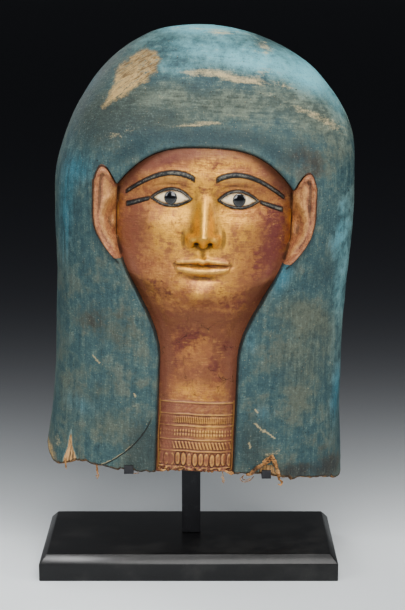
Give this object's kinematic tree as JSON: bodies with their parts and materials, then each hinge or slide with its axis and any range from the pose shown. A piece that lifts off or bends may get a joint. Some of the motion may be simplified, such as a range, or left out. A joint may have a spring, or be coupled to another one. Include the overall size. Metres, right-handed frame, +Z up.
{
  "type": "egyptian mummy mask",
  "caption": "Hollow gilded and painted mummy mask with a blue wig, inlaid eyes and a relief collar, held by hooks and an upright on a bevelled black base.",
  "frame": {"origin": "centre of the stand base's underside", "axes": "+Z up, the face looks along -Y, +X to the right of someone who looks at the face"},
  "size_m": [0.296, 0.1996, 0.5155],
  "materials": {
    "cartonnage": "matte",
    "rim_glaze": "satin",
    "eye_stone": "satin",
    "iris_stone": "polished",
    "base_paint": "satin",
    "stand_steel": "satin"
  },
  "bodies": {
    "root": {"mask": "cartonnage", "eye_rim_left": "rim_glaze", "eye_rim_right": "rim_glaze", "eye_white_left": "eye_stone", "eye_white_right": "eye_stone", "eye_iris_left": "iris_stone", "eye_iris_right": "iris_stone", "cosmetic_line_left": "rim_glaze", "cosmetic_line_right": "rim_glaze", "brow_left": "rim_glaze", "brow_right": "rim_glaze", "stand_base": "base_paint", "stand_upright": "stand_steel", "stand_crossbar": "stand_steel", "stand_hook_left": "stand_steel", "stand_hook_right": "stand_steel"}
  },
  "joints": []
}
